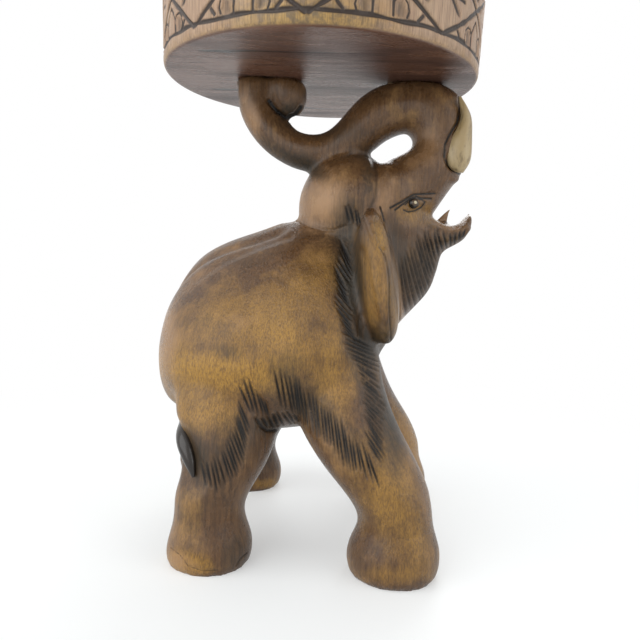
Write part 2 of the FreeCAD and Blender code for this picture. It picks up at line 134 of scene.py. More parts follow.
# Single cuts: points in pixels, half width in pixels, depth in metres, and how dark they are.
CUT_LINES = {
    "brow": (((390, 208), (403, 201), (414, 194.5), (435, 193.4)), 1.7, 0.0014, 1.0),
    "under_brow": (((395, 210), (409, 199.5), (416, 196.6), (421, 198.4), (431, 198.8)),
                   1.6, 0.0012, 1.0),
    "upper_lid": (((405, 205), (409, 200.5), (415, 198.6), (421, 199.6), (425, 202)), 1.2, 0.0008, 0.9),
    "lower_lid": (((403.5, 210), (408, 212), (415, 210.6), (421, 207.6), (425, 202)), 1.3, 0.0010, 1.0),
    "groin_crease": (((257, 419), (262, 427), (268, 431), (276, 430)), 2.6, 0.0020, 0.9),
    "ear_notch": (((380, 207), (382, 213), (384, 221)), 1.7, 0.0018, 0.9),
    "ear_facet": (((379, 247), (386, 258), (389.5, 280), (389, 306), (391, 341)), 1.6, 0.0012, 0.55),
    "crown_foot": (((297, 221), (309, 226), (322, 230), (334, 230), (345, 226)), 2.4, 0.0012, 0.30),
    "ankle_crease": (((398, 539), (416, 538), (433, 533)), 2.2, 0.0005, 0.15),
    # The crease at the crown's side is darkened as a painted soft shadow along it.
    "crown_side": (((372, 157), (375, 168), (376.5, 182), (375, 198), (369, 210)), 4.0, 0.0012, 0.50),
    "crown_top": (((340, 158), (352, 154), (364, 155), (374, 159)), 2.2, 0.0012, 0.4),
    "tusk_border": (((459, 96), (460, 110), (457, 123), (450, 134), (445, 144), (444, 156), (448, 166),
                     (459, 174)), 1.9, 0.0016, 1.0),
    # The crevice at the trunk's tip is darkened as its painted shadow.
    "tip_crease": (((269, 101), (277, 111.5), (286, 118), (295, 115), (301, 107)), 3.4, 0.0028, 1.0),
    "heel_crack": (((171, 548), (180, 555), (188, 566), (203, 571), (218, 570)), 1.0, 0.0008, 0.7),
    "toe_crack": (((236, 566), (241, 558), (247, 553)), 1.2, 0.0010, 0.8),
}

# Broad hollows and swellings: points in pixels, half width in pixels, height in metres.
MODELLED_LINES = {
    "ear_spoon": (((377, 220), (380, 232), (384, 246)), 5.5, -0.0030),
    "ear_rim": (((381, 212), (389, 240), (395, 270), (400, 305), (401, 330)), 2.6, 0.0012),
    "ear_ridge": (((366, 216), (371, 232), (379, 250), (385, 268), (386, 300), (388, 334)), 4.0, 0.0014),
    "ear_back_flat": (((361, 250), (368, 280), (376, 320)), 7.0, -0.0012),
    "upper_lip": (((454, 180), (459, 179)), 6.0, 0.0026),
    "nostril_fold": (((446, 172), (438, 184), (432, 193)), 6.0, -0.0014),
    "eye_lids": (((407, 206), (422, 203)), 9.0, 0.0012),
    "cheek": (((405, 228), (420, 222)), 14.0, 0.0016),
    "temple": (((386, 178), (392, 196)), 10.0, -0.0014),
    "lower_lip": (((432, 219), (446, 227), (457, 226), (465, 217)), 2.4, 0.0010),
    "under_jaw": (((446, 240), (458, 237), (467, 229)), 7.0, 0.0018),
    "spine_dip": (((196, 279), (222, 262), (256, 247), (290, 236)), 6.0, -0.0014),
    "rump_swell": (((190, 320), (230, 330)), 34.0, 0.0016),
    "elbow": (((350, 505), (360, 520)), 10.0, -0.0010),
}

# Soft zones: centre, half sizes and turn in pixels and degrees, then strength. In worn zones the stain
# is rubbed through to gold. Pale zones are partly worn places where only the lacquer's brown is left, and
# partly painted highlights and reflections on the dome, temple, flank, rump's edge and trunk's tip.
# Stained zones are partly thick stain and partly painted shade, in the crevice at the trunk's tip and on
# the neck behind the ear. The zones beyond lie on the inner sides of the far legs, which aren't mirrored.
WORN_ZONES = (
    (206, 370, 62, 16, 10, 1.0),
    (262, 368, 40, 20, 0, 0.60),
    (250, 318, 60, 34, -10, 0.60),
    (305, 335, 34, 44, 0, 0.45),
    (320, 275, 26, 22, 0, 0.40),
    (335, 375, 22, 44, 10, 0.55),
    (190, 405, 22, 34, -20, 0.60),
    (222, 402, 22, 30, -20, 0.50),
    (190, 515, 14, 30, 0, 0.30),
    (380, 500, 26, 60, -14, 0.60),
    (412, 520, 16, 50, -10, 0.50),
    (395, 576, 38, 9, 0, 0.35),
    (188, 564, 24, 11, 8, 1.0),
    (374, 290, 14, 58, -8, 0.45),
    (330, 194, 24, 26, 0, 0.30),
    (276, 330, 26, 14, 30, 0.30),
    (178, 360, 18, 18, 0, 0.35),
    (380, 235, 6, 18, -10, 0.7),
    (396, 315, 6, 36, -8, 0.50),
    (418, 214, 22, 12, 0, 0.50),
    (402, 110, 20, 8, 16, 0.20),
)
WORN_ZONES_BEYOND = (
    (410, 450, 18, 44, -8, 1.0),
    (269, 484, 14, 5, 0, 0.7),
)
PALE_TONE_AND_HIGHLIGHT_ZONES = (
    # Painted highlight on the dome.
    (324, 196, 22, 26, 20, 0.95),
    (310, 214, 14, 16, 0, 0.60),
    (184, 563, 18, 8, 20, 0.60),
    # Painted highlight on the flank, then painted reflection along the rump's left edge.
    (238, 322, 16, 9, -14, 0.30),
    (165, 335, 10, 44, 0, 0.80),
    (200, 278, 40, 7, -38, 0.35),
    # Painted highlight on the trunk's tip.
    (251, 117, 8, 22, -14, 0.80),
    (430, 150, 14, 20, 0, 0.45),
    (404, 160, 12, 12, 0, 0.25),
    # Painted highlight on the temple.
    (388, 184, 8, 16, 0, 0.45),
    (384, 205, 8, 10, 0, 0.60),
    (400, 300, 2.5, 44, -8, 0.80),
    (426, 500, 6, 34, -8, 0.40),
    (172, 520, 6, 40, 8, 0.30),
    (440, 224, 9, 2.5, 30, 0.60),
    (452, 228, 9, 2.5, 4, 0.55),
    (464, 221, 8, 2.5, -48, 0.50),
    (470, 213, 4, 3, 0, 0.60),
)
PALE_TONE_AND_HIGHLIGHT_ZONES_BEYOND = (
    (408, 445, 12, 36, -8, 0.60),
)
STAIN_AND_SHADE_ZONES = (
    # Painted shade on the neck behind the ear.
    (350, 278, 15, 58, -4, 1.0),
    (393, 400, 11, 62, -4, 0.90),
    (372, 345, 22, 20, 0, 0.85),
    (375, 400, 14, 52, -14, 0.60),
    (420, 272, 26, 38, 25, 0.75),
    (396, 240, 8, 32, -10, 0.60),
    (458, 240, 18, 7, 0, 0.55),
    (335, 428, 58, 16, 42, 0.45),
    (294, 400, 30, 24, 24, 0.50),
    (194, 452, 12, 26, -18, 0.80),
    (288, 362, 18, 16, 0, 0.40),
    (237, 440, 26, 24, -50, 0.50),
    (200, 500, 28, 34, 0, 0.25),
    (215, 470, 18, 20, 0, 0.35),
    (236, 556, 14, 20, 0, 0.55),
    (356, 560, 10, 22, 0, 0.20),
    (298, 164, 34, 8, 26, 0.70),
    # Painted shadow filling the crevice at the trunk's tip.
    (288, 112, 9, 9, 0, 0.90),
    (308, 164, 12, 9, 30, 0.80),
    (272, 150, 26, 12, 35, 0.45),
    (350, 216, 14, 20, 0, 0.60),
    (368, 176, 6, 22, 0, 0.55),
    (366, 154, 20, 7, 0, 0.40),
    (330, 130, 40, 12, 10, 0.35),
    (266, 425, 14, 8, 0, 0.80),
    (274, 250, 70, 10, -27, 0.20),
    (340, 236, 22, 7, 0, 0.35),
    (322, 128, 44, 10, 0, 0.25),
    (285, 374, 9, 9, 0, 0.40),
    (182, 322, 8, 10, 0, 0.20),
    (225, 352, 14, 7, 10, 0.35),
    (206, 320, 7, 7, 0, 0.25),
    (232, 352, 8, 6, 0, 0.30),
)
STAIN_ZONES_BEYOND = (
    (264, 455, 22, 16, 0, 0.40),
)
# Where two forms run into one another, so that their join is rounded away.
BLEND_ZONES = (
    (322, 230, 46, 10, 0, 0.7),
    (350, 262, 14, 54, -6, 1.0),
    (262, 405, 34, 22, 0, 1.0),
    (205, 400, 30, 22, 0, 0.8),
    (330, 400, 60, 34, 40, 1.0),
    (352, 350, 30, 44, 0, 0.9),
    (430, 228, 14, 10, 20, 0.6),
    (396, 345, 16, 26, 0, 1.0),
)

ZONE_EDGE = 1.5
ZONE_FALL = 0.7

# Middle line of the tail with its radius, from the rump down to its tip. The wood beside it is cut back,
# and more so at two places above the hind leg: a place, how far the cut reaches and how deep it is.
TAIL_PATH = (
    (-0.1200, 0.0040, 0.2260, 0.0045),
    (-0.1275, 0.0040, 0.2000, 0.0064),
    (-0.1300, 0.0020, 0.1750, 0.0072),
    (-0.1285, -0.0050, 0.1500, 0.0074),
    (-0.1200, -0.0240, 0.1300, 0.0072),
    (-0.1055, -0.0480, 0.1180, 0.0072),
    (-0.0955, -0.0770, 0.1115, 0.0072),
    (-0.0935, -0.0960, 0.1075, 0.0078),
    (-0.0905, -0.1075, 0.1015, 0.0078),
    (-0.0865, -0.1125, 0.0930, 0.0066),
    (-0.0830, -0.1165, 0.0845, 0.0046),
    (-0.0800, -0.1190, 0.0765, 0.0014),
)
REAR_HALF_END = -0.05
TAIL_CUT_REACH = 0.014
TAIL_CUT_DEPTH = 0.0036
CUT_BACK_PLACES = (
    ((-0.108, -0.078, 0.116), 0.018, 0.0060),
    ((-0.108, -0.082, 0.096), 0.016, 0.0060),
)


def select_only(piece):
    """Makes one piece the active one and the only one that is selected."""
    bpy.ops.object.select_all(action="DESELECT")
    piece.select_set(True)
    bpy.context.view_layer.objects.active = piece


def apply_modifier(piece, kind, **settings):
    """Adds a modifier to a piece and applies it."""
    modifier = piece.modifiers.new(kind.lower(), kind)
    for key, value in settings.items():
        setattr(modifier, key, value)
    select_only(piece)
    bpy.ops.object.modifier_apply(modifier=modifier.name)


def mesh_places(piece):
    """The places of a piece's points, as rows of x, y and z."""
    flat = np.empty(len(piece.data.vertices) * 3)
    piece.data.vertices.foreach_get("co", flat)
    return flat.reshape(-1, 3)


def mesh_normals(piece):
    """The way that each point of a piece faces."""
    flat = np.empty(len(piece.data.vertices) * 3)
    piece.data.vertex_normals.foreach_get("vector", flat)
    return flat.reshape(-1, 3)


def move_points(piece, places):
    """Gives a piece's points new places."""
    piece.data.vertices.foreach_set("co", places.ravel())
    piece.data.update()


def keep_mask(piece, name, values):
    """Keeps one number per point for the piece's material."""
    mask = piece.data.attributes.new(name, "FLOAT", "POINT")
    mask.data.foreach_set("value", np.clip(values, 0, 1))


def smooth_step(values, low, high):
    """0 below low, 1 above high and a soft step between."""
    share = np.clip((values - low) / (high - low), 0, 1)
    return share * share * (3 - 2 * share)


def seen_from_camera(places, normals, mirror=True):
    """Where points show in the frame, and how squarely they face it. The left side is mirrored."""
    flip = np.where((places[:, 1] > 0) & mirror, -1.0, 1.0)
    mirrored = places.copy()
    mirrored[:, 1] *= flip
    facing = normals.copy()
    facing[:, 1] *= flip
    sight = mirrored - np.array(CAMERA_PLACE)
    turned = sight @ np.array(camera_turn.to_3x3())
    pixels = FRAME_PIXELS / 2 + FRAME_PIXELS * turned[:, :2] / -turned[:, 2:] * (1, -1)
    sight /= np.linalg.norm(sight, axis=1)[:, None]
    return pixels, -(sight * facing).sum(axis=1)


def row_of_strokes(keys, spacing):
    """Evenly spaced strokes from one key stroke to the next."""
    keys = np.array(keys, float)
    middles = (keys[:, :2] + keys[:, 2:]) / 2
    stations = np.concatenate(([0], np.cumsum(np.hypot(*np.diff(middles, axis=0).T))))
    wanted = np.linspace(0, stations[-1], round(stations[-1] / spacing) + 1)
    return np.column_stack([np.interp(wanted, stations, column) for column in keys.T])


def gouge(pixels, start, end, half_width, fade):
    """How deep a V-shaped cut is at each point, from 1 on its line to 0 past its half width. One that
    fades runs out at both ends."""
    run = np.subtract(end, start)
    length = np.hypot(*run)
    share = ((pixels - start) @ run) / length ** 2
    aside = np.abs((pixels - start) @ (-run[1], run[0])) / length
    beyond = np.maximum(np.maximum(-share, share - 1), 0) * length
    depth = np.clip(1 - np.hypot(aside, beyond) / half_width, 0, 1)
    if fade:
        depth *= np.sqrt(np.sin(np.pi * np.clip(share * 0.96 + 0.02, 0, 1)))
    return depth


def near_line(pixels, points, half_width, lit):
    """Which points a line of cuts may reach."""
    low = np.min(points, axis=0) - half_width
    high = np.max(points, axis=0) + half_width
    return np.all((pixels > low) & (pixels < high), axis=1) & (lit > 0)


def hair_cut(pixels, facing):
    """Depth of the hair strokes at each point, from 0 to 1."""
    chance = np.random.default_rng(4)
    cut = np.zeros(len(pixels))
    lit = smooth_step(facing, *HAIR_FACING)
    for keys in HAIR_ROWS.values():
        for stroke in row_of_strokes(keys, HAIR_SPACING):
            stroke = stroke + chance.normal(0, HAIR_STRAY, 4)
            run = stroke[2:] - stroke[:2]
            start = stroke[:2] - run * chance.uniform(*HAIR_START_SHIFT)
            end = stroke[2:] + run * chance.uniform(*HAIR_END_SHIFT)
            half_width = HAIR_HALF_WIDTH * chance.uniform(*HAIR_WIDTH_RANGE)
            near = near_line(pixels, (start, end), half_width, lit)
            cut[near] = np.maximum(cut[near], gouge(pixels[near], start, end, half_width, True))
    return cut * lit


def line_cut(pixels, facing):
    """Depth of the single cuts in metres, and how dark they are, at each point."""
    depth = np.zeros(len(pixels))
    dark = np.zeros(len(pixels))
    lit = smooth_step(facing, *CUT_FACING)
    for points, half_width, metres, darkness in CUT_LINES.values():
        near = near_line(pixels, points, half_width, lit)
        for start, end in zip(points, points[1:]):
            part = gouge(pixels[near], np.array(start), np.array(end), half_width, False)
            depth[near] = np.maximum(depth[near], part * metres)
            dark[near] = np.maximum(dark[near], part * darkness)
    return depth * lit, dark * lit


def modelled_height(pixels, facing):
    """Height in metres of the broad hollows and swellings at each point."""
    height = np.zeros(len(pixels))
    lit = smooth_step(facing, *MODELLED_FACING)
    for points, half_width, metres in MODELLED_LINES.values():
        near = near_line(pixels, points, half_width, lit)
        swell = np.zeros(np.count_nonzero(near))
        for start, end in zip(points, points[1:]):
            part = gouge(pixels[near], np.array(start), np.array(end), half_width, False)
            swell = np.maximum(swell, part)
        height[near] += metres * smooth_step(swell, 0, 1)
    return height * lit


def spine_and_ear_height(places, normals):
    """Height in metres of the spine's ridge and hollows and of the ears' hollow fronts."""
    x, _, z = places.T
    aside = np.abs(places[:, 1])
    on_back = smooth_step(z, *BACK_HEIGHTS) * smooth_step(-x, *BACK_FRONT_END)
    on_back *= smooth_step(x, *BACK_REAR_END) * smooth_step(normals[:, 2], 0.05, 0.4)
    ridge = SPINE_RIDGE * np.exp(-(aside / SPINE_RIDGE_WIDTH) ** 2)
    ridge -= SPINE_HOLLOW * np.exp(-((aside - SPINE_HOLLOW_OFFSET) / SPINE_HOLLOW_WIDTH) ** 2)
    ear_front = smooth_step(normals[:, 0], 0.3, 0.8) * (x > EAR_REACH[0]) * (x < EAR_REACH[1])
    ear_front *= np.exp(-((aside - EAR_HOLLOW_OFFSET) / EAR_HOLLOW_WIDTH) ** 2
                        - ((z - EAR_HOLLOW_MIDDLE) / EAR_HOLLOW_LENGTH) ** 2)
    return on_back * ridge - EAR_HOLLOW * ear_front


def tail_room_height(places):
    """Height in metres, below zero, of the wood that is cut back beside the tail."""
    path = np.array(TAIL_PATH)[:, :3]
    away = np.full(len(places), np.inf)
    near = places[:, 0] < REAR_HALF_END
    for start, end in zip(path, path[1:]):
        run = end - start
        share = np.clip(((places[near] - start) @ run) / (run @ run), 0, 1)
        nearest = np.linalg.norm(places[near] - start - share[:, None] * run, axis=1)
        away[near] = np.minimum(away[near], nearest)
    cut = TAIL_CUT_DEPTH * np.exp(-(away / TAIL_CUT_REACH) ** 4)
    for place, reach, depth in CUT_BACK_PLACES:
        cut += depth * np.exp(-(np.linalg.norm(places - place, axis=1) / reach) ** 2)
    return -cut


def knife_marks(places):
    """Height in metres of the shallow unevenness that a knife leaves, as waves some millimetres long."""
    x, y, z = places.T * 1000
    waves = np.sin(x / 7.3 + 1.9 * np.sin(z / 19)) * np.sin(z / 11.1 + 1.3 * np.sin(y / 17))
    waves += 0.7 * np.sin(y / 6.1 + z / 23) * np.sin(z / 8.7 - x / 15)
    return KNIFE_MARK * waves


def zone_mask(pixels, zones):
    """Strength of soft oval zones at each point."""
    left = np.ones(len(pixels))
    for across, down, half_across, half_down, turn, strength in zones:
        offset = pixels - (across, down)
        cosine, sine = math.cos(math.radians(turn)), math.sin(math.radians(turn))
        along = (offset[:, 0] * cosine + offset[:, 1] * sine) / half_across
        beside = (offset[:, 1] * cosine - offset[:, 0] * sine) / half_down
        left *= 1 - strength * np.exp(-(along ** 2 + beside ** 2) ** ZONE_EDGE * ZONE_FALL)
    return 1 - left


elephant = bpy.data.objects.new("carved_elephant", nodes["elephant"].data.copy())
scene.collection.objects.link(elephant)
elephant.data.materials.clear()
select_only(elephant)
bpy.ops.object.mode_set(mode="EDIT")
bpy.ops.mesh.select_all(action="SELECT")
bpy.ops.mesh.remove_doubles(threshold=1e-6)
bpy.ops.mesh.select_all(action="DESELECT")
# The end of each tusk's socket is plugged before the block is meshed anew.
for name in ("tusk_right", "tusk_left"):
    tusk_points = mesh_places(nodes[name])
    peg_end = tusk_points[tusk_points[:, 0] < tusk_points[:, 0].min() + PEG_PLUG_OVERLAP].mean(axis=0)
    plug_middle = peg_end + np.array((PEG_PLUG_LENGTH / 2 - PEG_PLUG_OVERLAP, 0, 0))
    bpy.ops.mesh.primitive_cylinder_add(radius=PEG_PLUG_RADIUS, depth=PEG_PLUG_LENGTH,
                                        location=plug_middle, rotation=(0, math.pi / 2, 0))
bpy.ops.object.mode_set(mode="OBJECT")
apply_modifier(elephant, "REMESH", mode="VOXEL", voxel_size=FORM_VOXEL)
block_pixels, _ = seen_from_camera(mesh_places(elephant), mesh_normals(elephant))
blend_group = elephant.vertex_groups.new(name="blend")
for point, weight in enumerate(zone_mask(block_pixels, BLEND_ZONES)):
    blend_group.add((point,), weight, "REPLACE")
apply_modifier(elephant, "SMOOTH", factor=0.5, iterations=BLEND_SMOOTHING, vertex_group="blend")
apply_modifier(elephant, "SMOOTH", factor=0.5, iterations=FORM_SMOOTHING)
elephant.vertex_groups.clear()
apply_modifier(elephant, "SUBSURF", levels=2, render_levels=2)

form = mesh_places(elephant)
form_normals = mesh_normals(elephant)
form_pixels, form_facing = seen_from_camera(form, form_normals)
line_depth, _ = line_cut(form_pixels, form_facing)
height = modelled_height(form_pixels, form_facing) + spine_and_ear_height(form, form_normals)
height += knife_marks(form) + tail_room_height(form)
height -= np.maximum(HAIR_DEPTH * hair_cut(form_pixels, form_facing), line_depth)
form += form_normals * height[:, None]
block_low, block_high = (np.array(corner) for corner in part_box("elephant"))
form = np.clip(form, block_low, block_high)
sole = form[:, 2] < SOLE_HEIGHT
form[sole, 2] = 0
under_seat = form[:, 2] > SEAT_UNDERSIDE - SEAT_CONTACT
form[under_seat, 2] = SEAT_UNDERSIDE
move_points(elephant, form)
apply_modifier(elephant, "TRIANGULATE")
apply_modifier(elephant, "DECIMATE", ratio=TRIANGLE_LIMIT / len(elephant.data.polygons))

final_places = mesh_places(elephant)
final_normals = mesh_normals(elephant)
final_pixels, final_facing = seen_from_camera(final_places, final_normals)
straight_pixels, _ = seen_from_camera(final_places, final_normals, mirror=False)
outer = np.where(final_places[:, 1] > 0, smooth_step(final_normals[:, 1], -0.5, 0.3), 1.0)
_, line_dark = line_cut(final_pixels, final_facing)
keep_mask(elephant, "cut", np.maximum(hair_cut(final_pixels, final_facing), line_dark))
# Wear and stain, with painted highlights in the pale mask and painted shade in the stain mask.
wear_stain_and_light_zones = {
    "worn": (WORN_ZONES, WORN_ZONES_BEYOND),
    "pale_tone_and_highlight": (PALE_TONE_AND_HIGHLIGHT_ZONES, PALE_TONE_AND_HIGHLIGHT_ZONES_BEYOND),
    "stain": (STAIN_AND_SHADE_ZONES, STAIN_ZONES_BEYOND),
}
for name, (zones, beyond) in wear_stain_and_light_zones.items():
    inner_side = zone_mask(straight_pixels, beyond) * (1 - outer)
    keep_mask(elephant, name, zone_mask(final_pixels, zones) * outer + inner_side)
bpy.ops.object.shade_smooth()
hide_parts("elephant")
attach(elephant, "root")


def feed(tree, socket, value):
    """Links a socket to another one, or sets it to a number or a colour."""
    if isinstance(value, bpy.types.NodeSocket):
        tree.links.new(value, socket)
    else:
        socket.default_value = value


def add_node(tree, kind, settings=(), **inputs):
    """Adds a shader node. In the names of its inputs, an underscore stands for a space."""
    made = tree.nodes.new(kind)
    for key, value in dict(settings).items():
        setattr(made, key, value)
    for key, value in inputs.items():
        feed(tree, made.inputs[key.replace("_", " ")], value)
    return made


def calculate(tree, operation, *values):
    """The result of a math node."""
    made = tree.nodes.new("ShaderNodeMath")
    made.operation = operation
    for socket, value in zip(made.inputs, values):
        feed(tree, socket, value)
    return made.outputs[0]


def mix_colours(tree, share, first, second):
    """The second colour laid over the first by a share."""
    made = tree.nodes.new("ShaderNodeMix")
    made.data_type = "RGBA"
    feed(tree, made.inputs[0], share)
    for socket, colour in ((made.inputs[6], first), (made.inputs[7], second)):
        feed(tree, socket, (*colour, 1) if isinstance(colour, tuple) else colour)
    return made.outputs[2]


def ramp(tree, value, low, high):
    """A value spread so that low becomes 0 and high becomes 1."""
    made = add_node(tree, "ShaderNodeMapRange", {"clamp": True}, Value=value, From_Min=low, From_Max=high)
    return made.outputs["Result"]


def noise(tree, place, scale, detail=4.0, roughness=0.6):
    """Grey noise at a place, about 0.5 on average."""
    made = add_node(tree, "ShaderNodeTexNoise", Vector=place, Scale=scale, Detail=detail,
                    Roughness=roughness)
    return made.outputs["Fac"]


def kept_mask(tree, name):
    """A mask that was kept on the mesh."""
    return add_node(tree, "ShaderNodeAttribute", {"attribute_name": name}).outputs["Fac"]


def stretched(tree, place, x, y, z):
    """Object places with each axis scaled by its own factor."""
    return add_node(tree, "ShaderNodeMapping", Vector=place, Scale=(x, y, z)).outputs["Vector"]


def new_material(name):
    """A material with an empty Principled shader, its tree and the object's own places."""
    made = bpy.data.materials.new(name)
    made.use_nodes = True
    tree = made.node_tree
    place = tree.nodes.new("ShaderNodeTexCoord").outputs["Object"]
    return made, tree, tree.nodes["Principled BSDF"], place


def add_relief(tree, shader, height, strength, distance=0.0006):
    """Fine relief that light shows on a surface."""
    bump = add_node(tree, "ShaderNodeBump", Height=height, Strength=strength, Distance=distance)
    tree.links.new(bump.outputs["Normal"], shader.inputs["Normal"])


# Grain of a carved log: long pores along the trunk, cloudy stain between them and fine speckles where
# the finish is rubbed. It gives masks only; each wood lays its own colours by them.
grain = bpy.data.node_groups.new("log_grain", "ShaderNodeTree")
grain.interface.new_socket("Place", in_out="INPUT", socket_type="NodeSocketVector")
for mask_name in ("Pores", "Clouds", "Speckles", "Height"):
    grain.interface.new_socket(mask_name, in_out="OUTPUT", socket_type="NodeSocketFloat")
PORE_STRETCH = (420, 420, 22)
STREAK_STRETCH = (110, 110, 7)
SPECKLE_STRETCH = (950, 950, 260)
PATCH_SCALE = 26.0
grain_in = grain.nodes.new("NodeGroupInput").outputs["Place"]
grain_out = grain.nodes.new("NodeGroupOutput")
pores = ramp(grain, noise(grain, stretched(grain, grain_in, *PORE_STRETCH), 1.0, 5.0, 0.65), 0.35, 0.68)
streaks = noise(grain, stretched(grain, grain_in, *STREAK_STRETCH), 1.0, 4.0, 0.6)
patches = noise(grain, grain_in, PATCH_SCALE, 5.0, 0.62)
clouds = ramp(grain, calculate(grain, "ADD", calculate(grain, "MULTIPLY", streaks, 0.3),
                               calculate(grain, "MULTIPLY", patches, 0.7)), 0.36, 0.64)
speckles = noise(grain, stretched(grain, grain_in, *SPECKLE_STRETCH), 1.0, 4.0, 0.75)
speckles = ramp(grain, speckles, 0.42, 0.62)
grain_height = calculate(grain, "ADD", calculate(grain, "MULTIPLY", pores, 0.7),
                         calculate(grain, "MULTIPLY", speckles, 0.3))
grain.links.new(pores, grain_out.inputs["Pores"])
grain.links.new(clouds, grain_out.inputs["Clouds"])
grain.links.new(speckles, grain_out.inputs["Speckles"])
grain.links.new(grain_height, grain_out.inputs["Height"])

STAIN_DARK = (0.026, 0.012, 0.006)
STAIN_BROWN = (0.108, 0.052, 0.019)
STAIN_LIGHT = (0.190, 0.104, 0.046)
WORN_GOLD = (0.345, 0.184, 0.030)
WORN_DEEP = (0.155, 0.080, 0.020)
PALE_TONE_AND_HIGHLIGHT = (0.320, 0.185, 0.090)
THICK_STAIN_AND_SHADE = (0.024, 0.019, 0.012)
CUT_BLACK = (0.006, 0.005, 0.004)
STAIN_SHINE = 0.36


def wood_grain(tree, place):
    """The log's grain masks at a place."""
    made = tree.nodes.new("ShaderNodeGroup")
    made.node_tree = grain
    tree.links.new(place, made.inputs["Place"])
    return made.outputs


stained_wood, tree, shader, place = new_material("stained_wood")
masks = wood_grain(tree, place)
cut_mask = kept_mask(tree, "cut")
worn_mask = kept_mask(tree, "worn")
pale_tone_and_highlight_mask = kept_mask(tree, "pale_tone_and_highlight")
stain_and_shade_mask = kept_mask(tree, "stain")
colour = mix_colours(tree, masks["Clouds"], STAIN_BROWN, STAIN_LIGHT)
colour = mix_colours(tree, calculate(tree, "MULTIPLY", masks["Pores"], 0.58), colour, STAIN_DARK)
colour = mix_colours(tree, calculate(tree, "MULTIPLY", masks["Speckles"], 0.35), colour, STAIN_DARK)
gold = mix_colours(tree, masks["Speckles"], WORN_GOLD, WORN_DEEP)
worn_edge = calculate(tree, "MULTIPLY_ADD", masks["Clouds"], 0.6, worn_mask)
colour = mix_colours(tree, ramp(tree, worn_edge, 0.38, 1.20), colour, gold)
# Pale tone: worn places, plus painted highlights and reflections.
pale_tone_and_highlight_edge = calculate(tree, "MULTIPLY_ADD", masks["Clouds"], 0.6, pale_tone_and_highlight_mask)
colour = mix_colours(tree, ramp(tree, pale_tone_and_highlight_edge, 0.36, 1.32), colour, PALE_TONE_AND_HIGHLIGHT)
# Thick stain, plus painted shade in the trunk tip's crevice and on the neck behind the ear.
thick_stain_and_shade_edge = calculate(tree, "MULTIPLY_ADD", masks["Pores"], 0.3, stain_and_shade_mask)
colour = mix_colours(tree, ramp(tree, thick_stain_and_shade_edge, 0.22, 1.15), colour, THICK_STAIN_AND_SHADE)
# Cuts go near-black. At the crown's side and in the trunk tip's crevice this is painted shadow.
colour = mix_colours(tree, ramp(tree, cut_mask, 0.15, 0.75), colour, CUT_BLACK)
tree.links.new(colour, shader.inputs["Base Color"])
gloss = calculate(tree, "MULTIPLY_ADD", masks["Clouds"], 0.18, 0.20)
gloss = calculate(tree, "MULTIPLY_ADD", stain_and_shade_mask, 0.14, gloss)
tree.links.new(calculate(tree, "MULTIPLY_ADD", cut_mask, 0.25, gloss), shader.inputs["Roughness"])
shader.inputs["Specular IOR Level"].default_value = STAIN_SHINE
add_relief(tree, shader, masks["Height"], 0.45)
elephant.data.materials.append(stained_wood)


# The tail and the tip of the tongue are of the same block, but are drawn out as slim forms of their own,
# because the smoothing that rounds the body would wear them away. The tail follows the path beside which
# the block is cut back, from the rump to the right hind leg; the tongue is a sharp leaf.
TAIL_BROWN = (0.020, 0.014, 0.010)
TAIL_UNEVENNESS = 0.0003
TONGUE_ROOT = (0.1165, 0.0, 0.2955)
TONGUE_HEIGHT = 0.020
TONGUE_RADIUS = 0.0085
TONGUE_LEAN = 0.0085
TONGUE_TIP = 0.0004
TONGUE_EDGE = 0.0010
TONGUE_THIN_SHARE = 0.4
TONGUE_PALE = 0.8
tail_curve = bpy.data.curves.new("tail", "CURVE")
tail_curve.dimensions = "3D"
tail_curve.bevel_depth = 1.0
tail_curve.bevel_resolution = 10
tail_curve.resolution_u = 24
tail_curve.use_fill_caps = True
tail_line = tail_curve.splines.new("NURBS")
tail_line.points.add(len(TAIL_PATH) - 1)
for point, (x, y, z, radius) in zip(tail_line.points, TAIL_PATH):
    point.co = (x, y, z, 1)
    point.radius = radius
tail_line.order_u = 4
tail_line.use_endpoint_u = True
tail_rod = bpy.data.objects.new("tail_rod", tail_curve)
scene.collection.objects.link(tail_rod)
tail = bpy.data.objects.new("carved_tail", bpy.data.meshes.new_from_object(tail_rod))
bpy.data.objects.remove(tail_rod)
scene.collection.objects.link(tail)
tail_places = mesh_places(tail)
tail_waves = np.sin(tail_places[:, 2] * 230 + tail_places[:, 0] * 170)
tail_places += mesh_normals(tail) * (TAIL_UNEVENNESS * tail_waves)[:, None]
move_points(tail, tail_places)
for face in tail.data.polygons:
    face.use_smooth = True
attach(tail, "root")

tail_stain, tree, shader, place = new_material("tail_stain")
masks = wood_grain(tree, place)
colour = mix_colours(tree, masks["Clouds"], CUT_BLACK, TAIL_BROWN)
tree.links.new(colour, shader.inputs["Base Color"])
shader.inputs["Roughness"].default_value = 0.20
add_relief(tree, shader, masks["Height"], 0.12)
tail.data.materials.append(tail_stain)

bpy.ops.object.select_all(action="DESELECT")
bpy.ops.mesh.primitive_cone_add(vertices=24, radius1=TONGUE_RADIUS, radius2=TONGUE_TIP,
                                depth=TONGUE_HEIGHT)
tongue = bpy.context.object
tongue.name = "carved_tongue"
apply_modifier(tongue, "BEVEL", width=TONGUE_EDGE, segments=3)
apply_modifier(tongue, "SUBSURF", levels=1, render_levels=1)
tongue_places = mesh_places(tongue)
rise = tongue_places[:, 2] / TONGUE_HEIGHT + 0.5
tongue_places[:, 1] *= TONGUE_THIN_SHARE
tongue_places[:, 0] += TONGUE_LEAN * rise ** 2
move_points(tongue, tongue_places + np.array(TONGUE_ROOT))
keep_mask(tongue, "pale_tone_and_highlight", np.full(len(tongue_places), TONGUE_PALE))
bpy.ops.object.shade_smooth()
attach(tongue, "root")
tongue.data.materials.append(stained_wood)


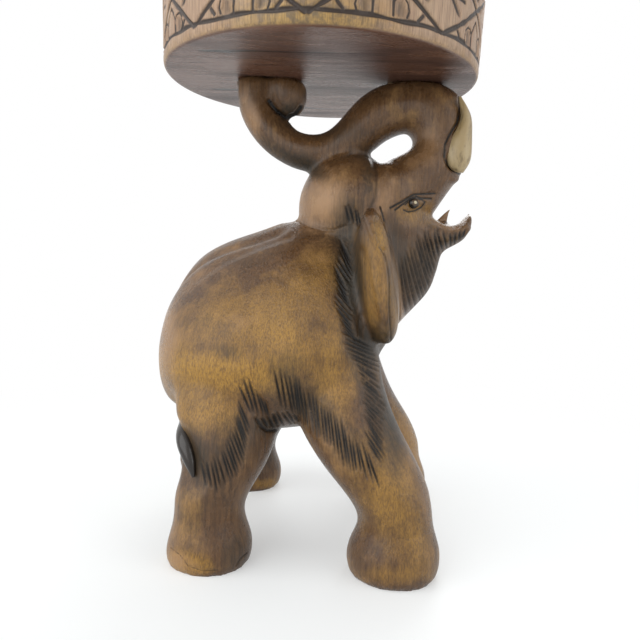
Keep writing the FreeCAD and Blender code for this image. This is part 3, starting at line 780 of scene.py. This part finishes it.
# The seat: a drum turned from the same log, tan wood with a band of V-cuts that were filled with dark
# stain. Two borders hold a zig-zag that crosses itself, with leaves in its fields.
SEAT_LOW = SEAT_UNDERSIDE
SEAT_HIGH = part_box("seat")[1].z
SEAT_FLARE = 0.003
SEAT_RADIUS_HIGH = (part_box("seat")[1].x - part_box("seat")[0].x) / 2
SEAT_RADIUS_LOW = SEAT_RADIUS_HIGH - SEAT_FLARE
LOWER_ROUND = 0.004
UPPER_ROUND = 0.009
UPPER_INSET = 0.0004
ROUND_POINTS = 9
UNDER_STEP = 0.0016
SIDE_STEP = 0.0008
TOP_STEP = 0.004
TURNS = 1180
BAND_LOW = 0.0105
BAND_HIGH = 0.073
BORDER_HALF_WIDTH = 0.0022
BORDER_DEPTH = 0.0014

# Where the zig-zag meets the borders, in degrees round the drum, and how far its lines stay apart there.
BAND_NODES = (-129.6, -90.6, -46.0, -4.0, 34.0, 74.0, 116.0, 157.0, 198.8)
NODE_INSET = 0.6
STEM_OFFSET = 3.0

# Cuts of the band: half width and depth in metres, how dark they are, and whether they fade at the ends.
ZIGZAG_CUT = (0.0030, 0.0017, 1.0, False)
PETAL_HOLLOW = (0.0062, 0.0018, 0.30, False)
PETAL_CUT = (0.0011, 0.0012, 1.0, False)
STEM_CUT = (0.0016, 0.0012, 1.0, False)
NICK_CUT = (0.0024, 0.0012, 0.8, False)
LEAF_CUT = (0.0034, 0.0016, 0.7, True)
VEIN_CUT = (0.0020, 0.0013, 1.0, False)

# Outlines of a petal and of its stem: degrees beside the stem's foot and metres above the border.
PETAL_OUTLINE = ((0.2, 0.0105), (1.6, 0.0145), (3.4, 0.0150), (5.0, 0.0115), (5.6, 0.0060), (5.0, 0.0015))
STEM_LINE = ((0.3, 0.0010), (0.2, 0.0120), (-1.0, 0.0170), (-2.8, 0.0225))


def rim_arc(middle_radius, middle_height, radius, first, last):
    """Points of a rounded rim, from one angle to another."""
    return [(middle_radius + radius * math.cos(angle), middle_height + radius * math.sin(angle))
            for angle in np.radians(np.linspace(first, last, ROUND_POINTS))]


profile = [(r, SEAT_LOW) for r in np.arange(0, SEAT_RADIUS_LOW - LOWER_ROUND, UNDER_STEP)]
profile += rim_arc(SEAT_RADIUS_LOW - LOWER_ROUND, SEAT_LOW + LOWER_ROUND, LOWER_ROUND, -90, 3)
for height in np.arange(SEAT_LOW + LOWER_ROUND + SIDE_STEP, SEAT_HIGH - UPPER_ROUND, SIDE_STEP):
    share = (height - SEAT_LOW) / (SEAT_HIGH - SEAT_LOW)
    profile.append((SEAT_RADIUS_LOW + (SEAT_RADIUS_HIGH - SEAT_RADIUS_LOW) * share, height))
profile += rim_arc(SEAT_RADIUS_HIGH - UPPER_ROUND - UPPER_INSET, SEAT_HIGH - UPPER_ROUND, UPPER_ROUND,
                   0, 90)
profile += [(r, SEAT_HIGH) for r in np.arange(SEAT_RADIUS_HIGH - UPPER_ROUND - TOP_STEP, 0, -TOP_STEP)]
profile.append((0, SEAT_HIGH))

seat_mesh = bpy.data.meshes.new("seat_drum")
profile_edges = [(point, point + 1) for point in range(len(profile) - 1)]
seat_mesh.from_pydata([(r, 0, z) for r, z in profile], profile_edges, [])
seat = bpy.data.objects.new("carved_seat", seat_mesh)
scene.collection.objects.link(seat)
apply_modifier(seat, "SCREW", steps=TURNS, render_steps=TURNS, use_merge_vertices=True,
               merge_threshold=1e-6)
bpy.ops.object.mode_set(mode="EDIT")
bpy.ops.mesh.select_all(action="SELECT")
bpy.ops.mesh.remove_doubles(threshold=1e-6)
bpy.ops.mesh.normals_make_consistent(inside=False)
bpy.ops.object.mode_set(mode="OBJECT")


def band_cuts():
    """The band's cuts: two ends, each an angle in degrees and a height above the rim, then its kind."""
    cuts = []
    middle = (BAND_LOW + BAND_HIGH) / 2
    for node, following in zip(BAND_NODES, (*BAND_NODES[1:], BAND_NODES[0] + 360)):
        crossing = (node + following) / 2
        gap = following - node
        for low, high in ((BAND_LOW, BAND_HIGH), (BAND_HIGH, BAND_LOW)):
            cuts.append(((node + NODE_INSET, low), (following - NODE_INSET, high), *ZIGZAG_CUT))
        for low, turn in ((BAND_LOW, 1), (BAND_HIGH, -1)):
            for side in (-1, 1):
                stem = crossing + side * STEM_OFFSET
                cuts.append(((stem + side * 2.6, low + turn * 0.004),
                             (stem + side * 2.8, low + turn * 0.009), *PETAL_HOLLOW))
                for outline, kind in ((PETAL_OUTLINE, PETAL_CUT), (STEM_LINE, STEM_CUT)):
                    line = [(stem + side * across, low + turn * up) for across, up in outline]
                    cuts += [(start, end, *kind) for start, end in zip(line, line[1:])]
                cuts.append(((crossing + side * gap * 0.27, low + turn * 0.002),
                             (crossing + side * gap * 0.31, low + turn * 0.007), *NICK_CUT))
        for side in (-1, 1):
            for lean in (-1, 1):
                cuts.append(((node + side * gap * 0.05, middle),
                             (node + side * gap * 0.20, middle + lean * 0.013), *LEAF_CUT))
            cuts.append(((node + side * gap * 0.07, middle),
                         (node + side * gap * 0.26, middle), *VEIN_CUT))
    return cuts


def carved_band(places):
    """Depth in metres of the band's cuts and how dark they are, at each point of the drum. The waves that
    make them uneven are whole ones round the drum, so that they close."""
    depth = np.zeros(len(places))
    dark = np.zeros(len(places))
    angles = np.degrees(np.arctan2(places[:, 1], places[:, 0]))
    heights = places[:, 2] - SEAT_LOW
    radius = (SEAT_RADIUS_LOW + SEAT_RADIUS_HIGH) / 2
    on_side = (np.hypot(places[:, 0], places[:, 1]) > SEAT_RADIUS_LOW - LOWER_ROUND) & (heights > 0.003)
    on_side &= heights < SEAT_HIGH - SEAT_LOW - UPPER_ROUND
    wave = 0.0006 * np.sin(np.radians(angles * 7)) + 0.0004 * np.sin(np.radians(angles * 19 + 40))
    swell = 1 + 0.35 * np.sin(np.radians(angles * 23)) * np.sin(np.radians(angles * 5 + 70))
    pressure = np.sin(np.radians(angles * 31) + heights * 420) * np.sin(np.radians(angles * 13))
    unevenness = 0.80 + 0.20 * pressure
    for border in (BAND_LOW, BAND_HIGH):
        cut = np.clip(1 - np.abs(heights - border - wave) / (BORDER_HALF_WIDTH * swell), 0, 1)
        depth = np.maximum(depth, BORDER_DEPTH * cut)
        dark = np.maximum(dark, cut)
    for first_end, second_end, half_width, metres, darkness, fade in band_cuts():
        angle_one, height_one = first_end
        angle_two, height_two = second_end
        middle_angle = (angle_one + angle_two) / 2
        turned = (angles - middle_angle + 180) % 360 - 180
        arc = np.radians(turned) * radius
        start = np.array((np.radians(angle_one - middle_angle) * radius, height_one))
        end = np.array((np.radians(angle_two - middle_angle) * radius, height_two))
        reach = abs(end[0] - start[0]) / 2 + half_width
        near = (np.abs(arc) < reach) & on_side
        flat = np.column_stack((arc[near], heights[near] + wave[near]))
        cut = gouge(flat, start, end, half_width, fade)
        cut = np.clip(1 - (1 - cut) / unevenness[near], 0, 1)
        depth[near] = np.maximum(depth[near], metres * np.sqrt(cut))
        dark[near] = np.maximum(dark[near], darkness * cut)
    return depth * on_side, dark * on_side


drum = mesh_places(seat)
band_depth, _ = carved_band(drum)
outward = drum[:, :2] / np.maximum(np.hypot(drum[:, 0], drum[:, 1]), 1e-9)[:, None]
drum[:, :2] -= outward * band_depth[:, None]
move_points(seat, drum)
apply_modifier(seat, "TRIANGULATE")
apply_modifier(seat, "DECIMATE", ratio=TRIANGLE_LIMIT / len(seat.data.polygons))
_, band_dark = carved_band(mesh_places(seat))
keep_mask(seat, "cut", band_dark)
bpy.ops.object.shade_smooth()
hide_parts("seat")
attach(seat, "root")

SEAT_TAN = (0.400, 0.268, 0.165)
SEAT_PINK = (0.345, 0.212, 0.140)
SEAT_PORE = (0.120, 0.070, 0.040)
SEAT_GOLD = (0.360, 0.215, 0.045)
SEAT_OLIVE = (0.105, 0.072, 0.028)
SEAT_CUT = (0.028, 0.016, 0.010)
SEAT_UNDER = (0.155, 0.076, 0.048)
SEAT_UNDER_DARK = (0.055, 0.027, 0.021)
SEAT_SHINE = 0.42
SIDE_LINE_STRETCH = (900, 900, 9)
SAW_MARK_STRETCH = (9, 42, 1)
CRACK_STRETCH = (12, 150, 1)
PITH_OFFSET = (0.014, -0.010, 0)

seat_wood, tree, shader, place = new_material("seat_wood")
masks = wood_grain(tree, place)
split = add_node(tree, "ShaderNodeSeparateXYZ", Vector=place).outputs
height = split["Z"]

# Its side: tan wood with fine upright lines, worn to gold and olive along the lower rim and low on the
# animal's right and left, under the dark cuts.
lines = ramp(tree, noise(tree, stretched(tree, place, *SIDE_LINE_STRETCH), 1.0, 3.0, 0.6), 0.40, 0.70)
colour = mix_colours(tree, masks["Clouds"], SEAT_TAN, SEAT_PINK)
colour = mix_colours(tree, calculate(tree, "MULTIPLY", lines, 0.75), colour, SEAT_PORE)
rim_wear = calculate(tree, "MULTIPLY", ramp(tree, height, SEAT_LOW + 0.010, SEAT_LOW + 0.001),
                     ramp(tree, masks["Clouds"], 0.1, 1.6))
sideways = calculate(tree, "ABSOLUTE", split["Y"])
side_wear = calculate(tree, "MULTIPLY", ramp(tree, sideways, 0.118, 0.143),
                      ramp(tree, height, SEAT_LOW + 0.036, SEAT_LOW + 0.008))
rim_wear = calculate(tree, "MAXIMUM", rim_wear, calculate(tree, "MULTIPLY", side_wear, 0.85))
mottle = noise(tree, place, 120.0, 4.0, 0.65)
rim_gold = mix_colours(tree, ramp(tree, mottle, 0.42, 0.60), SEAT_GOLD, SEAT_OLIVE)
rim_gold = mix_colours(tree, calculate(tree, "MULTIPLY", lines, 0.70), rim_gold, SEAT_OLIVE)
colour = mix_colours(tree, rim_wear, colour, rim_gold)
colour = mix_colours(tree, ramp(tree, kept_mask(tree, "cut"), 0.02, 0.42), colour, SEAT_CUT)

# Its top: end grain with rings round the pith, fine rays and a few drying checks.
pith = add_node(tree, "ShaderNodeMapping", Vector=place, Location=PITH_OFFSET).outputs["Vector"]
rings = add_node(tree, "ShaderNodeTexWave",
                 {"wave_type": "RINGS", "rings_direction": "Z", "wave_profile": "SAW"},
                 Vector=stretched(tree, pith, 1, 1, 0), Scale=62.0, Distortion=3.5, Detail=3.0,
                 Detail_Scale=0.35).outputs["Fac"]
ray_way = add_node(tree, "ShaderNodeVectorMath", {"operation": "NORMALIZE"},
                   Vector=stretched(tree, pith, 1, 1, 0)).outputs["Vector"]
checks = ramp(tree, noise(tree, ray_way, 17.0, 2.0, 0.5), 0.30, 0.27)
fine_rays = noise(tree, ray_way, 90.0, 3.0, 0.7)
stains = ramp(tree, noise(tree, place, 9.0, 4.0, 0.6), 0.50, 0.80)
top_colour = mix_colours(tree, calculate(tree, "MULTIPLY", rings, 0.42), SEAT_TAN, SEAT_PORE)
top_colour = mix_colours(tree, calculate(tree, "MULTIPLY", fine_rays, 0.40), top_colour, SEAT_PINK)
top_colour = mix_colours(tree, stains, top_colour, SEAT_OLIVE)
top_colour = mix_colours(tree, checks, top_colour, SEAT_CUT)
on_top = ramp(tree, height, SEAT_HIGH - 0.006, SEAT_HIGH - 0.001)
colour = mix_colours(tree, on_top, colour, top_colour)

# Its underside: rough red-brown end grain with saw marks and cracks.
underside = ramp(tree, height, SEAT_LOW + 0.0016, SEAT_LOW + 0.0004)
saw_marks = noise(tree, stretched(tree, place, *SAW_MARK_STRETCH), 1.0, 6.0, 0.70)
saw_marks = ramp(tree, saw_marks, 0.34, 0.66)
cracks = noise(tree, stretched(tree, place, *CRACK_STRETCH), 1.0, 2.0, 0.4)
cracks = ramp(tree, cracks, 0.350, 0.315)
under_colour = mix_colours(tree, saw_marks, SEAT_UNDER, SEAT_UNDER_DARK)
under_colour = mix_colours(tree, cracks, under_colour, CUT_BLACK)
colour = mix_colours(tree, underside, colour, under_colour)
tree.links.new(colour, shader.inputs["Base Color"])
side_gloss = calculate(tree, "MULTIPLY_ADD", masks["Clouds"], 0.15, 0.32)
under_gloss = calculate(tree, "MULTIPLY_ADD", saw_marks, 0.20, 0.18)
roughness = add_node(tree, "ShaderNodeMix", Factor=underside)
for socket, value in zip(roughness.inputs[2:4], (side_gloss, under_gloss)):
    tree.links.new(value, socket)
tree.links.new(roughness.outputs[0], shader.inputs["Roughness"])
under_relief = calculate(tree, "MULTIPLY_ADD", cracks, -2.0, saw_marks)
under_relief = calculate(tree, "MULTIPLY", under_relief, underside)
add_relief(tree, shader, calculate(tree, "ADD", masks["Height"], under_relief), 0.4)
shader.inputs["Specular IOR Level"].default_value = SEAT_SHINE
seat.data.materials.append(seat_wood)


# The tusks: slips of pale wood with a peg, let into the face beside the root of the trunk. They are
# painted cream, with dirt in their pits.
TUSK_CREAM = (0.300, 0.215, 0.100)
TUSK_PALE = (0.400, 0.315, 0.185)
TUSK_DIRT = (0.060, 0.042, 0.024)
tusk_paint, tree, shader, place = new_material("tusk_paint")
masks = wood_grain(tree, place)
colour = mix_colours(tree, masks["Clouds"], TUSK_PALE, TUSK_CREAM)
dirt = ramp(tree, noise(tree, stretched(tree, place, 170, 170, 50), 1.0, 4.0, 0.7), 0.50, 0.72)
colour = mix_colours(tree, calculate(tree, "MULTIPLY", dirt, 0.85), colour, TUSK_DIRT)
tree.links.new(colour, shader.inputs["Base Color"])
shader.inputs["Roughness"].default_value = 0.35
add_relief(tree, shader, masks["Height"], 0.3, 0.0005)
for name in ("tusk_right", "tusk_left"):
    nodes[name].data.materials.clear()
    nodes[name].data.materials.append(tusk_paint)


# The eyes: beads set into the carved sockets. They are painted near-black, with an amber ring and a cream
# dot that looks outwards and a little forward.
EYE_BLACK = (0.010, 0.008, 0.007)
EYE_AMBER = (0.060, 0.034, 0.016)
EYE_CREAM = (0.460, 0.390, 0.250)
for name in ("eye_right", "eye_left"):
    low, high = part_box(name)
    middle = (low + high) / 2
    radius = (high.x - low.x) / 2
    side = -1 if middle.y < 0 else 1
    dot = middle + Vector((radius * 0.30, side * radius * 0.93, radius * 0.16))
    eye_paint, tree, shader, place = new_material(f"{name}_paint")
    away = add_node(tree, "ShaderNodeVectorMath", {"operation": "DISTANCE"})
    tree.links.new(place, away.inputs[0])
    away.inputs[1].default_value = dot
    distance = away.outputs["Value"]
    colour = mix_colours(tree, ramp(tree, distance, radius * 0.62, radius * 0.80), EYE_AMBER, EYE_BLACK)
    colour = mix_colours(tree, ramp(tree, distance, radius * 0.34, radius * 0.26), colour, EYE_CREAM)
    tree.links.new(colour, shader.inputs["Base Color"])
    shader.inputs["Roughness"].default_value = 0.30
    nodes[name].data.materials.clear()
    nodes[name].data.materials.append(eye_paint)


# The dowels: three plain beech pegs, glued into bores, that pin the bend and the tip of the trunk to the
# seat. They are hidden in the wood.
DOWEL_PALE = (0.560, 0.400, 0.235)
DOWEL_DARK = (0.400, 0.260, 0.140)
dowel_wood, tree, shader, place = new_material("dowel_wood")
masks = wood_grain(tree, place)
colour = mix_colours(tree, masks["Pores"], DOWEL_PALE, DOWEL_DARK)
tree.links.new(colour, shader.inputs["Base Color"])
shader.inputs["Roughness"].default_value = 0.6
for name in ("seat_dowel_front", "seat_dowel_middle", "seat_dowel_rear"):
    nodes[name].data.materials.clear()
    nodes[name].data.materials.append(dowel_wood)


# The studio, which isn't part of the stool: a pale floor that fades to white round the feet, three broad
# soft lamps and a white surround.
FLOOR_SIZE = 12.0
FLOOR_PALE = (0.93, 0.965, 0.97, 1)
FADE_START = 0.05
FADE_END = 0.75
FADE_AT_FEET = 0.36
LAMP_AIM = (0, 0, 0.25)
SURROUND_LIGHT = 0.62
floor_paint, tree, shader, place = new_material("studio_floor")
shader.inputs["Base Color"].default_value = FLOOR_PALE
shader.inputs["Roughness"].default_value = 0.55
glow = add_node(tree, "ShaderNodeEmission", Color=(1, 1, 1, 1), Strength=1.0)
rays = tree.nodes.new("ShaderNodeLightPath").outputs
from_middle = add_node(tree, "ShaderNodeVectorMath", {"operation": "LENGTH"}, Vector=place)
fade = add_node(tree, "ShaderNodeMapRange", {"interpolation_type": "SMOOTHERSTEP"},
                Value=from_middle.outputs["Value"], From_Min=FADE_START, From_Max=FADE_END,
                To_Min=FADE_AT_FEET).outputs["Result"]
seen = calculate(tree, "MAXIMUM", rays["Is Camera Ray"], rays["Is Glossy Ray"])
blend = tree.nodes.new("ShaderNodeMixShader")
tree.links.new(calculate(tree, "MULTIPLY", fade, seen), blend.inputs[0])
tree.links.new(shader.outputs[0], blend.inputs[1])
tree.links.new(glow.outputs[0], blend.inputs[2])
tree.links.new(blend.outputs[0], tree.nodes["Material Output"].inputs["Surface"])
bpy.ops.mesh.primitive_plane_add(size=FLOOR_SIZE, location=(0, 0, 0))
floor = bpy.context.object
floor.name = "studio_floor"
floor.data.materials.append(floor_paint)


def soft_lamp(name, place, size, watts):
    """A square soft lamp that points at the middle of the stool."""
    data = bpy.data.lights.new(name, "AREA")
    data.size = size
    data.energy = watts
    lamp = bpy.data.objects.new(name, data)
    scene.collection.objects.link(lamp)
    lamp.location = place
    aim = Vector(LAMP_AIM) - Vector(place)
    lamp.rotation_euler = aim.to_track_quat("-Z", "Y").to_euler()


soft_lamp("key_lamp", (-1.2, -1.1, 1.1), 2.4, 32)
soft_lamp("side_lamp", (1.5, -0.7, 0.8), 1.2, 8)
soft_lamp("back_lamp", (0.2, 1.6, 1.4), 1.2, 14)

world = bpy.data.worlds.new("studio_world")
world.use_nodes = True
scene.world = world
tree = world.node_tree
rays = tree.nodes.new("ShaderNodeLightPath").outputs
background = tree.nodes["Background"]
background.inputs["Color"].default_value = (1, 1, 1, 1)
mirrored = calculate(tree, "MAXIMUM", rays["Is Glossy Ray"], rays["Is Transmission Ray"])
seen = calculate(tree, "MAXIMUM", rays["Is Camera Ray"], mirrored)
strength = calculate(tree, "ADD", SURROUND_LIGHT, calculate(tree, "MULTIPLY", seen, 1 - SURROUND_LIGHT))
tree.links.new(strength, background.inputs["Strength"])
scene.view_settings.view_transform = "Standard"
